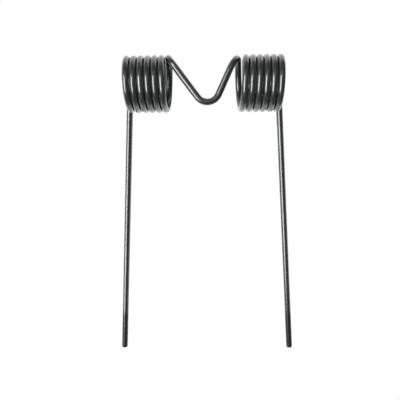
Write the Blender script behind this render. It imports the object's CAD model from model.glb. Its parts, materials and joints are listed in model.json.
import json
import logging
import math
from dataclasses import dataclass, field
from enum import Enum
from typing import Any

import bpy
import numpy as np
from mathutils import Matrix, Quaternion, Vector


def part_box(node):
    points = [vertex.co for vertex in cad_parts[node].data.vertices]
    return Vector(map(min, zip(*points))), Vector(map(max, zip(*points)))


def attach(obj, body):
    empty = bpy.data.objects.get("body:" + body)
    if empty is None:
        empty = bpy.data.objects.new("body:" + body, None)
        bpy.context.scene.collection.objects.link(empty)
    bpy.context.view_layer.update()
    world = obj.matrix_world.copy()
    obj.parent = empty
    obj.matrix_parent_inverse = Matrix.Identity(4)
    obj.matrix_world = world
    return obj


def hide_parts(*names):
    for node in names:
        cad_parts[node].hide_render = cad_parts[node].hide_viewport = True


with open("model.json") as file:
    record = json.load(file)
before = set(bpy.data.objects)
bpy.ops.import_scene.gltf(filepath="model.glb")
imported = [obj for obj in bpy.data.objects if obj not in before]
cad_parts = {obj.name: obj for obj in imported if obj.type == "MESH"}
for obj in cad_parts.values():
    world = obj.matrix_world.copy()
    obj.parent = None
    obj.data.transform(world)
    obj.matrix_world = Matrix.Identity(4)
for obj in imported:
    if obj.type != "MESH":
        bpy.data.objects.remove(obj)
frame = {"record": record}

MM = 0.001
CAD_NODE = "torsion_spring"
WIRE_PLACE = "wire_mm"  # point attribute: place round the wire and along it, in millimetres
WIRE_GRAIN = "wire_grain"  # point attribute: direction of the finest lines in the finish
WIRE_END = "wire_end_mm"  # point attribute: along the wire to the nearer tip, in millimetres
MIX_A, MIX_B, MIX_RESULT = 6, 7, 2  # a colour mix's inputs and its output, by number
QUARTER_TURN = 0.25  # as a share of a full turn

log = logging.getLogger("torsion_spring")


class Side(Enum):
    """Which half of the spring is meant, as seen with the legs pointing down."""

    LEFT = -1
    RIGHT = 1


class Skin(Enum):
    """Surfaces of the wire, by the number of their material."""

    DRAWN = 0
    SHEARED = 1


def linear(hex_colour: str) -> tuple[float, float, float, float]:
    """Turn an sRGB hex colour into linear light.

    Args:
        hex_colour: Six hex digits, with or without a leading hash.

    Returns:
        Linear red, green and blue, and an alpha of 1.
    """
    digits = hex_colour.lstrip("#")
    channels = []
    for place in (0, 2, 4):
        value = int(digits[place : place + 2], 16) / 255
        channels.append(value / 12.92 if value <= 0.04045 else ((value + 0.055) / 1.055) ** 2.4)
    return channels[0], channels[1], channels[2], 1.0


def add_node(
    tree: bpy.types.NodeTree,
    kind: str,
    settings: dict[str, Any] | None = None,
    inputs: dict[str | int, Any] | None = None,
) -> bpy.types.Node:
    """Add a node with its settings, input values and links.

    Args:
        tree: Node tree that gets the node.
        kind: Blender's name for the kind of node.
        settings: Properties of the node, by name.
        inputs: What each input takes, by its name or number. An output socket is linked to it,
            and anything else becomes its value.

    Returns:
        The new node.
    """
    node = tree.nodes.new(kind)
    for name, value in (settings or {}).items():
        setattr(node, name, value)
    for name, value in (inputs or {}).items():
        if isinstance(value, bpy.types.NodeSocket):
            tree.links.new(value, node.inputs[name])
        else:
            node.inputs[name].default_value = value
    return node


def new_material(name: str) -> tuple[bpy.types.Material, bpy.types.NodeTree]:
    """Start a material.

    Args:
        name: Real material and its process.

    Returns:
        The material, and its node tree with nothing in it yet.
    """
    material = bpy.data.materials.new(name)
    material.use_nodes = True
    material.node_tree.nodes.clear()
    return material, material.node_tree


def set_ramp(
    node: bpy.types.Node, stops: list[tuple[float, tuple[float, float, float, float]]]
) -> None:
    """Give a colour ramp its stops.

    Args:
        node: The colour ramp.
        stops: Place from 0 to 1 and linear colour of each stop, in order, two or more.
    """
    ramp = node.color_ramp
    while len(ramp.elements) < len(stops):
        ramp.elements.new(1.0)
    for element, (place, colour) in zip(ramp.elements, stops):
        element.position = place
        element.color = colour


def grey(level: float) -> tuple[float, float, float, float]:
    """A linear grey of that level."""
    return level, level, level, 1.0


def unit(vector: np.ndarray) -> np.ndarray:
    """The vector at length 1."""
    return vector / np.linalg.norm(vector)


def turn_between(first: np.ndarray, second: np.ndarray) -> float:
    """The angle between two vectors, in radians."""
    return math.acos(float(np.clip(np.dot(unit(first), unit(second)), -1, 1)))


@dataclass(frozen=True)
class Half:
    """What differs between the two halves of the spring.

    Attributes:
        side: Which half it is.
        leg_splay_deg: Degrees that the leg leans outwards.
        release_deg: Degrees past the last whole turn where the wire leaves the coil.
        last_gap: Extra space before the last turn, in millimetres.
        lead_bend: Inside radius of the bend where the limb leaves its coil, in millimetres.
    """

    side: Side
    leg_splay_deg: float
    release_deg: float
    last_gap: float
    lead_bend: float

    def leg_direction(self) -> np.ndarray:
        """Direction of the straight leg, from the coil to the tip."""
        splay = math.radians(self.leg_splay_deg)
        return np.array([self.side.value * math.sin(splay), -math.cos(splay), 0.0])


@dataclass(frozen=True)
class Centreline:
    """Line down the middle of the bent wire, from the left tip to the right tip, in millimetres.

    Attributes:
        wire_radius: Half the wire's thickness.
        coil_radius: Coil axis to the middle of the wire.
        coil_gap: Clear space between neighbouring turns.
        whole_turns: Full turns after the quarter turn that rises from the leg.
        leg_length: Coil axis to sheared tip.
        leg_spacing: Between the legs where they leave the coils.
        leg_set_length: Length of the slight bend that sets each leg outwards.
        bridge_bend: Inside radius of the bend at the centre.
        bridge_corner: Where the two limbs would meet if they ran on.
        bend_step: Spacing of the samples where the wire bends.
        leg_step: Spacing of the samples along the legs.
        aim_rounds: Rounds of aiming each limb at the bridge, as its own bend moves its start.
        halves: Left half, then right half.
    """

    wire_radius: float
    coil_radius: float
    coil_gap: float = 0.1
    whole_turns: int = 6
    leg_length: float = 150.4
    leg_spacing: float = 77.0
    leg_set_length: float = 8.0
    bridge_bend: float = 4.3
    bridge_corner: tuple[float, float, float] = (3.0, -14.2, 7.7)
    bend_step: float = 0.6
    leg_step: float = 1.5
    aim_rounds: int = 12
    halves: tuple[Half, Half] = (
        Half(Side.LEFT, leg_splay_deg=3.6, release_deg=-0.5, last_gap=0.0, lead_bend=4.4),
        Half(Side.RIGHT, leg_splay_deg=3.9, release_deg=-25.0, last_gap=0.4, lead_bend=5.9),
    )

    @property
    def pitch(self) -> float:
        """Advance along the axis for one turn."""
        return 2 * self.wire_radius + self.coil_gap

    def coil(self, half: Half) -> np.ndarray:
        """Sample one coil from its leg to where the wire leaves it.

        Args:
            half: The half that the coil belongs to.

        Returns:
            Points, one a row.
        """
        first, last = -90.0, 360.0 * self.whole_turns + half.release_deg
        length = math.radians(last - first) * self.coil_radius
        degrees = np.linspace(first, last, math.ceil(length / self.bend_step) + 1)
        last_turn = np.clip((degrees - last) / 360 + 1, 0, None)
        advance = self.pitch * (degrees - first) / 360 + half.last_gap * last_turn**2
        turn = np.radians(degrees)
        return np.column_stack(
            [
                half.side.value * (self.leg_spacing / 2 - advance),
                self.coil_radius * np.cos(turn),
                self.coil_radius * np.sin(turn),
            ]
        )

    def coil_direction(self, half: Half, degrees: float, pitch: float) -> np.ndarray:
        """Find the direction of the wire at an angle round a coil.

        Args:
            half: The half that the coil belongs to.
            degrees: Angle round the coil.
            pitch: Advance for one turn at that place.

        Returns:
            Unit direction, going from the leg to the bridge.
        """
        turn = math.radians(degrees)
        around = np.array([0.0, -math.sin(turn), math.cos(turn)]) * self.coil_radius
        along = np.array([-half.side.value * pitch / (2 * math.pi), 0.0, 0.0])
        return unit(around + along)

    def arc(self, start: np.ndarray, direction: np.ndarray, end: np.ndarray) -> np.ndarray:
        """Sample the arc that leaves a point in one direction and ends at another point.

        Args:
            start: First point.
            direction: Direction at the first point.
            end: Last point.

        Returns:
            Points without the first one, one a row.
        """
        chord = end - start
        half_turn = turn_between(direction, chord)
        radius = np.linalg.norm(chord) / (2 * math.sin(half_turn))
        inwards = unit(chord - np.dot(chord, direction) * direction)
        count = max(4, math.ceil(2 * half_turn * radius / self.bend_step))
        turns = np.linspace(0, 2 * half_turn, count + 1)[1:, None]
        return start + radius * ((1 - np.cos(turns)) * inwards + np.sin(turns) * direction)

    def straight(self, start: np.ndarray, end: np.ndarray, step: float) -> np.ndarray:
        """Sample a straight run.

        Args:
            start: First point.
            end: Last point.
            step: Greatest spacing.

        Returns:
            Points without the first one, one a row.
        """
        count = max(1, math.ceil(np.linalg.norm(end - start) / step))
        return start + (end - start) * np.linspace(0, 1, count + 1)[1:, None]

    def leg(self, half: Half, root: np.ndarray) -> np.ndarray:
        """Sample a leg from its tip to the coil.

        Args:
            half: The half that the leg belongs to.
            root: Where the coil begins.

        Returns:
            Points without the coil's first one, one a row.
        """
        helix = math.atan(self.pitch / (2 * math.pi * self.coil_radius))
        mean_splay = (math.radians(half.leg_splay_deg) + helix) / 2
        chord = np.array([half.side.value * math.sin(mean_splay), -math.cos(mean_splay), 0.0])
        set_end = root + chord * self.leg_set_length
        bend = self.arc(root, -self.coil_direction(half, -90, self.pitch), set_end)
        run = (self.leg_length + set_end[1]) / math.cos(math.radians(half.leg_splay_deg))
        tip = set_end + half.leg_direction() * run
        return np.vstack([bend, self.straight(set_end, tip, self.leg_step)])[::-1]

    def lead_end(
        self, half: Half, start: np.ndarray, direction: np.ndarray
    ) -> tuple[np.ndarray, np.ndarray]:
        """Find the end of the bend that takes the wire off its coil and aims it at the bridge.

        Args:
            half: The half that the limb belongs to.
            start: Where the wire leaves the coil.
            direction: Direction of the wire there.

        Returns:
            End of the bend, and unit direction of the limb that follows.
        """
        target = np.array(self.bridge_corner)
        radius = half.lead_bend + self.wire_radius
        reach = radius
        for _ in range(self.aim_rounds):
            corner = start + direction * reach
            reach = radius * math.tan(turn_between(direction, target - corner) / 2)
        corner = start + direction * reach
        limb = unit(target - corner)
        return corner + limb * reach, limb

    def points(self) -> np.ndarray:
        """Sample the whole line.

        Returns:
            Points from the left tip to the right tip, one a row.
        """
        runs, limbs = [], []
        for half in self.halves:
            coil = self.coil(half)
            direction = self.coil_direction(half, half.release_deg, self.pitch + 2 * half.last_gap)
            bend_end, limb = self.lead_end(half, coil[-1], direction)
            bend = self.arc(coil[-1], direction, bend_end)
            runs.append(np.vstack([self.leg(half, coil[0]), coil, bend]))
            limbs.append(limb)
        radius = self.bridge_bend + self.wire_radius
        reach = radius * math.tan(turn_between(limbs[0], -limbs[1]) / 2)
        left_end, right_end = (np.array(self.bridge_corner) - limb * reach for limb in limbs)
        return np.vstack(
            [
                runs[0],
                self.straight(runs[0][-1], left_end, self.bend_step),
                self.arc(left_end, limbs[0], right_end),
                self.straight(right_end, runs[1][-1], self.bend_step),
                runs[1][::-1][1:],
            ]
        )


@dataclass(frozen=True)
class ShearedTip:
    """Shape of a wire end that a shear cut off, in millimetres.

    Attributes:
        edge_round: Radius of the edge that the shear rolls over.
        round_steps: Rings across that rounded edge.
        face_rings: Rings from the rounded edge to the middle of the face.
        bare_steps: Bands of the rounded edge, counted from the face, that the shear left bare.
        reach: Length at each end that is left to the tip's own rings.
    """

    edge_round: float = 0.45
    round_steps: int = 6
    face_rings: int = 4
    bare_steps: int = 5
    reach: float = 0.675

    def profile(self, wire_radius: float) -> list[tuple[float, float]]:
        """Give the rings of the tip, from the side of the wire to the middle of its face.

        Args:
            wire_radius: Half the wire's thickness.

        Returns:
            Distance back from the cut face and radius of each ring, without the middle point.
        """
        rings = []
        for step in range(self.round_steps + 1):
            turn = math.pi / 2 * step / self.round_steps
            back = self.edge_round * (1 - math.sin(turn))
            rings.append((back, wire_radius - self.edge_round * (1 - math.cos(turn))))
        face = wire_radius - self.edge_round
        for ring in range(1, self.face_rings):
            rings.append((0.0, face * (1 - ring / self.face_rings)))
        return rings


@dataclass(frozen=True)
class DrawnSpringWire:
    """Oil-tempered carbon spring steel, drawn through a die, coiled and left in its black scale.

    The die leaves fine lines along the wire. The temper scale makes it near black with a faint
    blue-green sheen, and being part oxide it mirrors less than bare steel. The thin oil film on it
    gives tight, bright streaks where a lamp shows.

    Attributes:
        scale_dark: Temper scale at its darkest.
        scale_light: Temper scale where the steel shows through a little more.
        scale_metallic: How metallic the scale is. The oxide in it keeps this under 1.
        worn: Scale that the coiling tools rubbed thin.
        dry: Scale near the tips, which the shear's oil-free jaws held.
        roughness: Mean roughness of the scale.
        anisotropy: How much further the scale blurs a light across its finest lines.
        coiled_slant_deg: Slant of the finest lines on the coils and the bridge, where the coiling
            point smeared them. On the legs they run along the wire.
        slant_run_mm: Length past each leg over which that slant sets in.
        line_width_mm: Width of a die line. Real ones are under 0.05 mm, too fine to show, so they
            are drawn as wide as they need to show.
        line_length_mm: Length of a die line.
        line_depth_mm: Depth of a die line.
        line_levels: Levels of the noise at the smoothest and at the roughest die line.
        line_roughness: Change of roughness that a die line makes, up or down.
        patch_mm: Size of the cloudy patches in the scale.
        patch_depth_mm: Height of a cloudy patch.
        relief: Strength of the bumps that the lines and the patches make.
        speck_mm: Size of the specks of oil and dust.
        speck_levels: Levels of the noise between which a speck sets in.
        speck_roughness: Roughness that a speck adds.
        rub_width_mm: Width of the marks that the coiler's feed rolls and other springs left.
        rub_length_mm: Length of those marks.
        rub_levels: Levels of the noise between which such a mark sets in.
        rub_share: How much of the worn colour such a mark shows.
        oil_film: How much of the scale the oil film covers, apart from the dry ends.
        film_roughness: Roughness of the oil film.
        film_ior: IOR of the oil.
        dry_end_mm: Length of the dry end of each leg.
        dry_fade_mm: How far the oil creeps over the dry end's border, to both sides.
        jaw_mark: Scale that the edge of the shear's jaw bruised, in one slanted line on one leg.
        jaw_mark_mm: Left tip to that mark.
        jaw_mark_width_mm: Width of that mark.
        jaw_mark_slope: How far the mark runs along the wire for each millimetre across it.
    """

    scale_dark: str = "#434646"
    scale_light: str = "#4e5151"
    scale_metallic: float = 0.8
    worn: str = "#626565"
    dry: str = "#3b3d3d"
    roughness: float = 0.29
    anisotropy: float = 0.45
    coiled_slant_deg: float = 50.0
    slant_run_mm: float = 5.0
    line_width_mm: float = 0.22
    line_length_mm: float = 14.0
    line_depth_mm: float = 0.001
    line_levels: tuple[float, float] = (0.3, 0.7)
    line_roughness: float = 0.01
    patch_mm: float = 3.5
    patch_depth_mm: float = 0.005
    relief: float = 0.1
    speck_mm: float = 0.325
    speck_levels: tuple[float, float] = (0.66, 0.72)
    speck_roughness: float = 0.04
    rub_width_mm: float = 2.5
    rub_length_mm: float = 22.0
    rub_levels: tuple[float, float] = (0.56, 0.74)
    rub_share: float = 0.5
    oil_film: float = 0.78
    film_roughness: float = 0.07
    film_ior: float = 1.47
    dry_end_mm: float = 22.0
    dry_fade_mm: float = 3.0
    jaw_mark: str = "#585b5b"
    jaw_mark_mm: float = 14.0
    jaw_mark_width_mm: float = 0.5
    jaw_mark_slope: float = 0.5

    def material(self) -> bpy.types.Material:
        """Make the material.

        Returns:
            Material whose pattern follows the wire round and along its bends.
        """
        material, tree = new_material("oil_tempered_drawn_spring_steel")
        attribute = add_node(tree, "ShaderNodeAttribute", {"attribute_name": WIRE_PLACE})
        place = attribute.outputs["Vector"]
        line = (self.line_width_mm, self.line_width_mm, self.line_length_mm)
        lines = self.noise(tree, place, line, detail=3.0)
        patches = self.noise(tree, place, (self.patch_mm,) * 3, detail=4.0)
        oiled = self.oiled(tree)
        film = add_node(
            tree, "ShaderNodeMath", {"operation": "MULTIPLY"}, {0: oiled, 1: self.oil_film}
        )
        shader = add_node(
            tree,
            "ShaderNodeBsdfPrincipled",
            {},
            {
                "Base Color": self.colour(tree, place, patches, oiled),
                "Metallic": self.scale_metallic,
                "Roughness": self.sheen(tree, place, lines),
                "Anisotropic": self.anisotropy,
                "Anisotropic Rotation": QUARTER_TURN,
                "Tangent": self.grain(tree),
                "Normal": self.bumps(tree, lines, patches),
                "Coat Weight": film.outputs[0],
                "Coat Roughness": self.film_roughness,
                "Coat IOR": self.film_ior,
            },
        )
        add_node(tree, "ShaderNodeOutputMaterial", {}, {"Surface": shader.outputs["BSDF"]})
        return material

    def noise(
        self,
        tree: bpy.types.NodeTree,
        place: bpy.types.NodeSocket,
        size_mm: tuple[float, float, float],
        detail: float,
    ) -> bpy.types.NodeSocket:
        """Add a noise whose spots have a real size.

        Args:
            tree: Node tree of the material.
            place: Place on the wire, in millimetres.
            size_mm: Size of a spot across, across and along the wire.
            detail: Levels of finer noise in it.

        Returns:
            Level of the noise, from 0 to 1.
        """
        scaled = add_node(
            tree,
            "ShaderNodeMapping",
            {"vector_type": "POINT"},
            {"Vector": place, "Scale": tuple(1 / size for size in size_mm)},
        )
        noise = add_node(
            tree,
            "ShaderNodeTexNoise",
            {},
            {"Vector": scaled.outputs["Vector"], "Scale": 1.0, "Detail": detail},
        )
        return noise.outputs["Fac"]

    def oiled(self, tree: bpy.types.NodeTree) -> bpy.types.NodeSocket:
        """Tell the oiled wire from its dry ends.

        Args:
            tree: Node tree of the material.

        Returns:
            0 on the dry ends, 1 elsewhere.
        """
        from_tip = add_node(tree, "ShaderNodeAttribute", {"attribute_name": WIRE_END})
        oiled = add_node(
            tree,
            "ShaderNodeMapRange",
            {"interpolation_type": "SMOOTHSTEP"},
            {
                "Value": from_tip.outputs["Fac"],
                "From Min": self.dry_end_mm - self.dry_fade_mm,
                "From Max": self.dry_end_mm + self.dry_fade_mm,
                "To Min": 0.0,
                "To Max": 1.0,
            },
        )
        return oiled.outputs["Result"]

    def colour(
        self,
        tree: bpy.types.NodeTree,
        place: bpy.types.NodeSocket,
        patches: bpy.types.NodeSocket,
        oiled: bpy.types.NodeSocket,
    ) -> bpy.types.NodeSocket:
        """Colour the scale, its worn places, the dry ends and the jaw mark.

        Args:
            tree: Node tree of the material.
            place: Place on the wire, in millimetres.
            patches: Noise of the cloudy patches.
            oiled: 0 on the dry ends, 1 elsewhere.

        Returns:
            The colour.
        """
        scale = add_node(
            tree,
            "ShaderNodeMix",
            {"data_type": "RGBA"},
            {"Factor": patches, MIX_A: linear(self.scale_dark), MIX_B: linear(self.scale_light)},
        )
        rub = (self.rub_width_mm, self.rub_width_mm, self.rub_length_mm)
        rubs = self.noise(tree, place, rub, detail=3.0)
        rubbed = add_node(tree, "ShaderNodeValToRGB", {}, {"Fac": rubs})
        set_ramp(rubbed, list(zip(self.rub_levels, (grey(0.0), grey(self.rub_share)))))
        worn = add_node(
            tree,
            "ShaderNodeMix",
            {"data_type": "RGBA"},
            {
                "Factor": rubbed.outputs["Color"],
                MIX_A: scale.outputs[MIX_RESULT],
                MIX_B: linear(self.worn),
            },
        )
        skin = add_node(
            tree,
            "ShaderNodeMix",
            {"data_type": "RGBA"},
            {"Factor": oiled, MIX_A: linear(self.dry), MIX_B: worn.outputs[MIX_RESULT]},
        )
        parts = add_node(tree, "ShaderNodeSeparateXYZ", {}, {"Vector": place})
        slanted = add_node(
            tree,
            "ShaderNodeMath",
            {"operation": "MULTIPLY_ADD"},
            {0: parts.outputs["Y"], 1: -self.jaw_mark_slope, 2: parts.outputs["Z"]},
        )
        bruised = add_node(
            tree,
            "ShaderNodeMath",
            {"operation": "COMPARE"},
            {0: slanted.outputs[0], 1: self.jaw_mark_mm, 2: self.jaw_mark_width_mm / 2},
        )
        marked = add_node(
            tree,
            "ShaderNodeMix",
            {"data_type": "RGBA"},
            {
                "Factor": bruised.outputs[0],
                MIX_A: skin.outputs[MIX_RESULT],
                MIX_B: linear(self.jaw_mark),
            },
        )
        return marked.outputs[MIX_RESULT]

    def sheen(
        self,
        tree: bpy.types.NodeTree,
        place: bpy.types.NodeSocket,
        lines: bpy.types.NodeSocket,
    ) -> bpy.types.NodeSocket:
        """Vary the roughness with the die lines and the specks.

        Args:
            tree: Node tree of the material.
            place: Place on the wire, in millimetres.
            lines: Noise of the die lines.

        Returns:
            The roughness.
        """
        lined = add_node(
            tree,
            "ShaderNodeMapRange",
            {},
            {
                "Value": lines,
                "From Min": self.line_levels[0],
                "From Max": self.line_levels[1],
                "To Min": self.roughness - self.line_roughness,
                "To Max": self.roughness + self.line_roughness,
            },
        )
        specks = self.noise(tree, place, (self.speck_mm,) * 3, detail=2.0)
        specked = add_node(tree, "ShaderNodeValToRGB", {}, {"Fac": specks})
        set_ramp(specked, list(zip(self.speck_levels, (grey(0.0), grey(1.0)))))
        roughness = add_node(
            tree,
            "ShaderNodeMath",
            {"operation": "MULTIPLY_ADD"},
            {0: specked.outputs["Color"], 1: self.speck_roughness, 2: lined.outputs["Result"]},
        )
        return roughness.outputs[0]

    def bumps(
        self,
        tree: bpy.types.NodeTree,
        lines: bpy.types.NodeSocket,
        patches: bpy.types.NodeSocket,
    ) -> bpy.types.NodeSocket:
        """Raise the die lines and the cloudy patches.

        Args:
            tree: Node tree of the material.
            lines: Noise of the die lines.
            patches: Noise of the cloudy patches.

        Returns:
            The bumped normal.
        """
        die_lines = add_node(
            tree,
            "ShaderNodeBump",
            {},
            {"Strength": self.relief, "Distance": self.line_depth_mm * MM, "Height": lines},
        )
        cloudy = add_node(
            tree,
            "ShaderNodeBump",
            {},
            {
                "Strength": self.relief,
                "Distance": self.patch_depth_mm * MM,
                "Height": patches,
                "Normal": die_lines.outputs["Normal"],
            },
        )
        return cloudy.outputs["Normal"]

    def grain(self, tree: bpy.types.NodeTree) -> bpy.types.NodeSocket:
        """Find the direction of the finest lines, which turns with the wire.

        Args:
            tree: Node tree of the material.

        Returns:
            That direction in the world.
        """
        grain = add_node(tree, "ShaderNodeAttribute", {"attribute_name": WIRE_GRAIN})
        grain_now = add_node(
            tree,
            "ShaderNodeVectorTransform",
            {"vector_type": "VECTOR", "convert_from": "OBJECT", "convert_to": "WORLD"},
            {"Vector": grain.outputs["Vector"]},
        )
        return grain_now.outputs["Vector"]


@dataclass(frozen=True)
class ShearedSteel:
    """Bare spring steel, torn by the shear.

    Part of the face is smooth where the blade cut it and part is frosty where it broke, so it looks
    lighter and rougher than the scale round it.

    Attributes:
        cut: Colour of the smooth part.
        torn: Colour of the broken part.
        roughness: Roughness of both.
        grain_mm: Size of a grain in the break.
        grain_depth_mm: Height of a grain.
        relief: Strength of the bumps that the grains make.
    """

    cut: str = "#8f9090"
    torn: str = "#6c6d6d"
    roughness: float = 0.42
    grain_mm: float = 0.25
    grain_depth_mm: float = 0.05
    relief: float = 0.6

    def material(self) -> bpy.types.Material:
        """Make the material.

        Returns:
            Material for the faces at the wire's ends.
        """
        material, tree = new_material("sheared_bare_spring_steel")
        place = add_node(tree, "ShaderNodeAttribute", {"attribute_name": WIRE_PLACE})
        grain = add_node(
            tree,
            "ShaderNodeTexNoise",
            {},
            {"Vector": place.outputs["Vector"], "Scale": 1 / self.grain_mm, "Detail": 4.0},
        )
        colour = add_node(
            tree,
            "ShaderNodeMix",
            {"data_type": "RGBA"},
            {"Factor": grain.outputs["Fac"], MIX_A: linear(self.torn), MIX_B: linear(self.cut)},
        )
        torn = add_node(
            tree,
            "ShaderNodeBump",
            {},
            {
                "Strength": self.relief,
                "Distance": self.grain_depth_mm * MM,
                "Height": grain.outputs["Fac"],
            },
        )
        shader = add_node(
            tree,
            "ShaderNodeBsdfPrincipled",
            {},
            {
                "Base Color": colour.outputs[MIX_RESULT],
                "Metallic": 1.0,
                "Roughness": self.roughness,
                "Normal": torn.outputs["Normal"],
            },
        )
        add_node(tree, "ShaderNodeOutputMaterial", {}, {"Surface": shader.outputs["BSDF"]})
        return material


@dataclass
class SpringWire:
    """The whole spring: one round wire along its centreline, with two sheared tips.

    Attributes:
        centreline: Line down the middle of the wire.
        tip: Shape of both ends.
        around: Vertices round the wire.
        inset: How far the skin lies under the solid's surface, so that it stays inside it, in
            millimetres.
        drawn: Finish of the wire's side.
        sheared: Finish of the cut faces.
    """

    centreline: Centreline
    tip: ShearedTip = field(default_factory=ShearedTip)
    around: int = 36
    inset: float = 0.002
    drawn: DrawnSpringWire = field(default_factory=DrawnSpringWire)
    sheared: ShearedSteel = field(default_factory=ShearedSteel)

    def tangents(self, line: np.ndarray) -> np.ndarray:
        """Find the direction of the wire at each sample.

        Args:
            line: Points along the wire.

        Returns:
            Unit directions, one a row.
        """
        steps = np.diff(line, axis=0)
        lengths = np.linalg.norm(steps, axis=1)[:, None]
        slopes = steps / lengths
        before, after = lengths[:-1], lengths[1:]
        middle = (slopes[:-1] * after + slopes[1:] * before) / (before + after)
        directions = np.vstack([slopes[:1], middle, slopes[-1:]])
        return directions / np.linalg.norm(directions, axis=1)[:, None]

    def sideways(self, directions: np.ndarray) -> np.ndarray:
        """Carry a sideways direction along the wire without letting it twist.

        Args:
            directions: Unit directions of the wire.

        Returns:
            Unit directions across the wire, one a row.
        """
        up = Vector((0, 0, 1))
        result = []
        last = Vector(directions[0])
        for row in directions:
            here = Vector(row)
            up = last.rotation_difference(here) @ up
            up = (up - here * up.dot(here)).normalized()
            result.append(tuple(up))
            last = here
        return np.array(result)

    def rings(self) -> tuple[list[np.ndarray], list[np.ndarray], list[np.ndarray], list[bool]]:
        """Lay out every ring of the skin, from the middle of one cut face to the other.

        Returns:
            Ring points in millimetres, place on the wire and direction of its grain at each point,
            and whether the band after each ring belongs to a cut face.
        """
        line = self.centreline.points()
        radius = self.centreline.wire_radius - self.inset
        directions = self.tangents(line)
        across = self.sideways(directions)
        along = np.concatenate([[0], np.cumsum(np.linalg.norm(np.diff(line, axis=0), axis=1))])
        inner = (along > self.tip.reach) & (along < along[-1] - self.tip.reach)
        profile = self.tip.profile(radius)

        stations = [(0, back, size) for back, size in reversed(profile)]
        stations += [(index, 0.0, radius) for index in np.flatnonzero(inner)]
        stations += [(len(line) - 1, -back, size) for back, size in profile]
        face = self.tip.face_rings - 1 + self.tip.bare_steps
        turns = np.linspace(0, 2 * math.pi, self.around, endpoint=False)[:, None]
        past_leg = np.minimum(along, along[-1] - along) - self.centreline.leg_length
        bent = np.clip(past_leg / self.drawn.slant_run_mm, 0, 1)
        slants = np.radians(self.drawn.coiled_slant_deg) * bent
        points, places, grains, cut = [], [], [], []
        for number, (index, forward, size) in enumerate(stations):
            direction, side = directions[index], across[index]
            other = np.cross(direction, side)
            centre = line[index] + direction * forward
            points.append(centre + size * (np.cos(turns) * side + np.sin(turns) * other))
            distance = np.full_like(turns, along[index] + forward)
            places.append(np.hstack([size * np.cos(turns), size * np.sin(turns), distance]))
            lengthwise = np.tile(direction, (self.around, 1))
            crosswise = np.cos(turns) * other - np.sin(turns) * side
            grains.append(np.cos(slants[index]) * lengthwise + np.sin(slants[index]) * crosswise)
            cut.append(number < face or number >= len(stations) - 1 - face)
        return points, places, grains, cut

    def faces(self, cut: list[bool]) -> tuple[list[tuple[int, ...]], list[int]]:
        """Join the rings into bands and close both cut faces.

        Args:
            cut: Whether the band after each ring belongs to a cut face, one entry a ring.

        Returns:
            Vertex numbers of each face, and the number of its material. The vertices are those of
            all rings in order, then the middles of the first and the last cut face.
        """
        count, rings = self.around, len(cut)
        first_middle, last_middle = rings * count, rings * count + 1
        faces: list[tuple[int, ...]] = []
        skins: list[int] = []
        for ring in range(rings - 1):
            skin = Skin.SHEARED if cut[ring] else Skin.DRAWN
            low, high = ring * count, (ring + 1) * count
            for step in range(count):
                following = (step + 1) % count
                faces.append((low + step, low + following, high + following, high + step))
                skins.append(skin.value)
        end = (rings - 1) * count
        for step in range(count):
            following = (step + 1) % count
            faces.append((first_middle, following, step))
            faces.append((last_middle, end + step, end + following))
            skins.extend([Skin.SHEARED.value, Skin.SHEARED.value])
        return faces, skins

    def build(self) -> bpy.types.Object:
        """Build the wire's skin as one closed mesh.

        Returns:
            The wire, in metres.
        """
        points, places, grains, cut = self.rings()
        vertices = np.vstack([*points, points[0].mean(axis=0), points[-1].mean(axis=0)])
        place = np.vstack(places)
        place = np.vstack([place, [0, 0, place[0, 2]], [0, 0, place[-1, 2]]])
        grain = np.vstack([*grains, grains[0][:1], grains[-1][:1]])
        from_tip = np.minimum(place[:, 2], place[:, 2].max() - place[:, 2])
        faces, skins = self.faces(cut)

        mesh = bpy.data.meshes.new("bent_spring_wire")
        mesh.from_pydata((vertices * MM).tolist(), [], faces)
        mesh.polygons.foreach_set("material_index", skins)
        mesh.polygons.foreach_set("use_smooth", [True] * len(faces))
        for name, values in ((WIRE_PLACE, place), (WIRE_GRAIN, grain)):
            attribute = mesh.attributes.new(name, "FLOAT_VECTOR", "POINT")
            attribute.data.foreach_set("vector", values.astype(np.float32).ravel())
        attribute = mesh.attributes.new(WIRE_END, "FLOAT", "POINT")
        attribute.data.foreach_set("value", from_tip.astype(np.float32))
        mesh.validate()
        mesh.update()
        wire = bpy.data.objects.new("bent_spring_wire", mesh)
        bpy.context.scene.collection.objects.link(wire)
        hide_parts(CAD_NODE)
        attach(wire, "root")
        return wire

    def dress(self, wire: bpy.types.Object) -> None:
        """Give the wire its two finishes.

        Args:
            wire: The wire that build made.
        """
        wire.data.materials.append(self.drawn.material())
        wire.data.materials.append(self.sheared.material())


@dataclass(frozen=True)
class Softbox:
    """A flat studio lamp with an even white front.

    Attributes:
        name: What the lamp is for.
        place: Middle of its front, in millimetres.
        aim: Point that it faces, in millimetres.
        width: Size across, in millimetres.
        length: Size along Y, in millimetres.
        brightness: Light of its front, where the white background is 1.
    """

    name: str
    place: tuple[float, float, float]
    aim: tuple[float, float, float]
    width: float
    length: float
    brightness: float

    def build(self) -> bpy.types.Object:
        """Build the lamp.

        Returns:
            The lamp, facing its aim with its length along Y.
        """
        lamp = bpy.data.lights.new(self.name, "AREA")
        lamp.shape = "RECTANGLE"
        lamp.size = self.width * MM
        lamp.size_y = self.length * MM
        # the front of a lamp of P watts is P / (4 x its area) bright
        lamp.energy = 4 * self.brightness * lamp.size * lamp.size_y
        box = bpy.data.objects.new(self.name, lamp)
        back = (Vector(self.place) - Vector(self.aim)).normalized()
        along = Vector((0, 1, 0))
        along = (along - back * along.dot(back)).normalized()
        across = along.cross(back)
        turn = Matrix((across, along, back)).transposed().to_4x4()
        box.matrix_world = Matrix.Translation(Vector(self.place) * MM) @ turn
        box.visible_camera = False
        bpy.context.scene.collection.objects.link(box)
        return box


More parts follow.
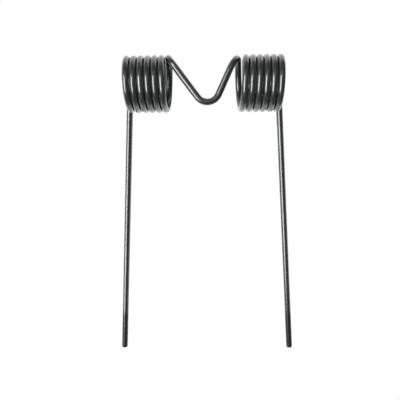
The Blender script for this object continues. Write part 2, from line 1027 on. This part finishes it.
@dataclass(frozen=True)
class Sheet:
    """A flat sheet that lies level, which the lens sees fully exposed, white and without shadow.

    Attributes:
        name: What the sheet is.
        material_name: Real material and its process.
        colour: sRGB hex colour of its matt surface.
        low: Corner with the lowest X and Y, in millimetres.
        high: Corner with the highest X and Y, in millimetres.
        level: Height of the sheet, in millimetres.
        roughness: Roughness of the matt surface.
    """

    name: str
    material_name: str
    colour: str
    low: tuple[float, float]
    high: tuple[float, float]
    level: float
    roughness: float = 0.5

    def material(self) -> bpy.types.Material:
        """Make the matt surface.

        Returns:
            Material for the sheet.
        """
        material, tree = new_material(self.material_name)
        matt = add_node(
            tree,
            "ShaderNodeBsdfDiffuse",
            {},
            {"Color": linear(self.colour), "Roughness": self.roughness},
        )
        exposed = add_node(
            tree, "ShaderNodeEmission", {}, {"Color": linear("#ffffff"), "Strength": 1.0}
        )
        path = add_node(tree, "ShaderNodeLightPath")
        seen = add_node(
            tree,
            "ShaderNodeMixShader",
            {},
            {
                0: path.outputs["Is Camera Ray"],
                1: matt.outputs["BSDF"],
                2: exposed.outputs["Emission"],
            },
        )
        add_node(tree, "ShaderNodeOutputMaterial", {}, {"Surface": seen.outputs["Shader"]})
        return material

    def build(self) -> bpy.types.Object:
        """Build the sheet.

        Returns:
            The sheet, marked as stage.
        """
        (west, south), (east, north) = self.low, self.high
        corners = [(west, south), (east, south), (east, north), (west, north)]
        mesh = bpy.data.meshes.new(self.name)
        vertices = [(x * MM, y * MM, self.level * MM) for x, y in corners]
        mesh.from_pydata(vertices, [], [(0, 1, 2, 3)])
        mesh.materials.append(self.material())
        sheet = bpy.data.objects.new(self.name, mesh)
        bpy.context.scene.collection.objects.link(sheet)
        return sheet


@dataclass(frozen=True)
class Studio:
    """White paper on a table in a dim room, with softboxes.

    Attributes:
        floor_level: Height of the paper, in millimetres.
        paper: sRGB hex colour of the paper.
        table: sRGB hex colour of the table top.
        paper_low: Corner of the paper with the lowest X and Y, in millimetres.
        paper_high: Corner of the paper with the highest X and Y, in millimetres.
        table_size: Size of the table top, in millimetres.
        table_drop: Table top under the paper, in millimetres.
        room_stops: Height of the look as the sine of its elevation, and light of the room there.
        softboxes: The lamps.
    """

    floor_level: float
    paper: str = "#f9f9f9"
    table: str = "#545454"
    paper_low: tuple[float, float] = (-670.0, -660.0)
    paper_high: tuple[float, float] = (70.0, 165.0)
    table_size: float = 12000.0
    table_drop: float = 1.0
    room_stops: tuple[tuple[float, float], ...] = (
        (0.00, 0.47),
        (0.30, 0.07),
        (1.00, 0.18),
    )
    softboxes: tuple[Softbox, ...] = (
        Softbox(
            name="key_softbox",
            place=(-2350.0, 75.0, 3120.0),
            aim=(0.0, 0.0, 0.0),
            width=2280.0,
            length=4230.0,
            brightness=8.0,
        ),
        Softbox(
            name="fill_softbox",
            place=(390.0, 1970.0, 2600.0),
            aim=(0.0, 0.0, 0.0),
            width=2500.0,
            length=2500.0,
            brightness=0.4,
        ),
    )

    def build_room(self) -> bpy.types.World:
        """Build the room: white behind the object, and dim as reflections show it.

        Returns:
            The world.
        """
        world = bpy.data.worlds.new("dim_studio_room")
        world.use_nodes = True
        tree = world.node_tree
        tree.nodes.clear()
        look = add_node(tree, "ShaderNodeTexCoord")
        parts = add_node(tree, "ShaderNodeSeparateXYZ", {}, {"Vector": look.outputs["Generated"]})
        height = add_node(tree, "ShaderNodeValToRGB", {}, {"Fac": parts.outputs["Z"]})
        set_ramp(height, [(place, grey(level)) for place, level in self.room_stops])
        path = add_node(tree, "ShaderNodeLightPath")
        seen = add_node(
            tree,
            "ShaderNodeMix",
            {"data_type": "RGBA"},
            {
                "Factor": path.outputs["Is Camera Ray"],
                MIX_A: height.outputs["Color"],
                MIX_B: grey(1.0),
            },
        )
        light = add_node(
            tree,
            "ShaderNodeBackground",
            {},
            {"Color": seen.outputs[MIX_RESULT], "Strength": 1.0},
        )
        add_node(tree, "ShaderNodeOutputWorld", {}, {"Surface": light.outputs["Background"]})
        bpy.context.scene.world = world
        return world

    def build(self) -> None:
        """Build the paper, the table, the room and the lamps."""
        Sheet(
            name="background_paper",
            material_name="matt_white_background_paper",
            colour=self.paper,
            low=self.paper_low,
            high=self.paper_high,
            level=self.floor_level,
        ).build()
        half = self.table_size / 2
        Sheet(
            name="table_top",
            material_name="matt_grey_laminate",
            colour=self.table,
            low=(-half, -half),
            high=(half, half),
            level=self.floor_level - self.table_drop,
        ).build()
        self.build_room()
        for softbox in self.softboxes:
            softbox.build()


@dataclass(frozen=True)
class CameraStand:
    """Camera over the coils, leaning towards the legs.

    Attributes:
        place: Where the lens is, in millimetres.
        aim: Point that it looks at, in millimetres.
        roll_deg: Turn about the line of sight.
        focal_px: Focal length, in pixels of the rendered image.
        image_px: Width and height of the rendered image, in pixels.
        sensor_mm: Width of the sensor.
        clip_m: Nearest and farthest distance that it shows, in metres.
    """

    place: tuple[float, float, float] = (3.171, 0.446, 254.97)
    aim: tuple[float, float, float] = (-2.754, -62.33, -13.8)
    roll_deg: float = -0.566
    focal_px: float = 501.2
    image_px: float = 400.0
    sensor_mm: float = 36.0
    clip_m: tuple[float, float] = (0.01, 100.0)

    def build(self) -> bpy.types.Object:
        """Build the camera and make it the scene's own.

        Returns:
            The camera.
        """
        lens = bpy.data.cameras.new("camera")
        lens.sensor_fit = "HORIZONTAL"
        lens.sensor_width = self.sensor_mm
        lens.lens = self.focal_px / self.image_px * self.sensor_mm
        lens.clip_start, lens.clip_end = self.clip_m
        camera = bpy.data.objects.new("camera", lens)
        back = (Vector(self.place) - Vector(self.aim)).normalized()
        right = Vector((0, 1, 0)).cross(back).normalized()
        right = Quaternion(back, math.radians(self.roll_deg)) @ right
        turn = Matrix((right, back.cross(right), back)).transposed().to_4x4()
        camera.matrix_world = Matrix.Translation(Vector(self.place) * MM) @ turn
        bpy.context.scene.collection.objects.link(camera)
        bpy.context.scene.camera = camera
        return camera


def mount_radius(name: str) -> float:
    """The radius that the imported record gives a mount, in millimetres."""
    mounts = frame["record"]["mounts"]
    return next(float(mount["dims"]["r_mm"]) for mount in mounts if mount["name"] == name)


def main() -> None:
    """Build the spring, the studio and the camera, and keep both boxes."""
    logging.basicConfig(level=logging.INFO, format="%(name)s: %(message)s")
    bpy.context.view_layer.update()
    bpy.context.scene.view_settings.view_transform = "Standard"

    wire_radius = mount_radius("left_leg")
    line = Centreline(wire_radius=wire_radius, coil_radius=mount_radius("coil_arbor") + wire_radius)
    spring = SpringWire(line)
    wire = spring.build()
    spring.dress(wire)
    log.info("wire: %d faces", len(wire.data.polygons))

    lowest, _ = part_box(CAD_NODE)
    studio = Studio(floor_level=lowest.z / MM)
    studio.build()
    log.info("studio: floor at %.2f mm, %d softboxes", studio.floor_level, len(studio.softboxes))

    camera = CameraStand().build()
    log.info("camera: %.1f mm lens", camera.data.lens)


if __name__ == "__main__":
    main()
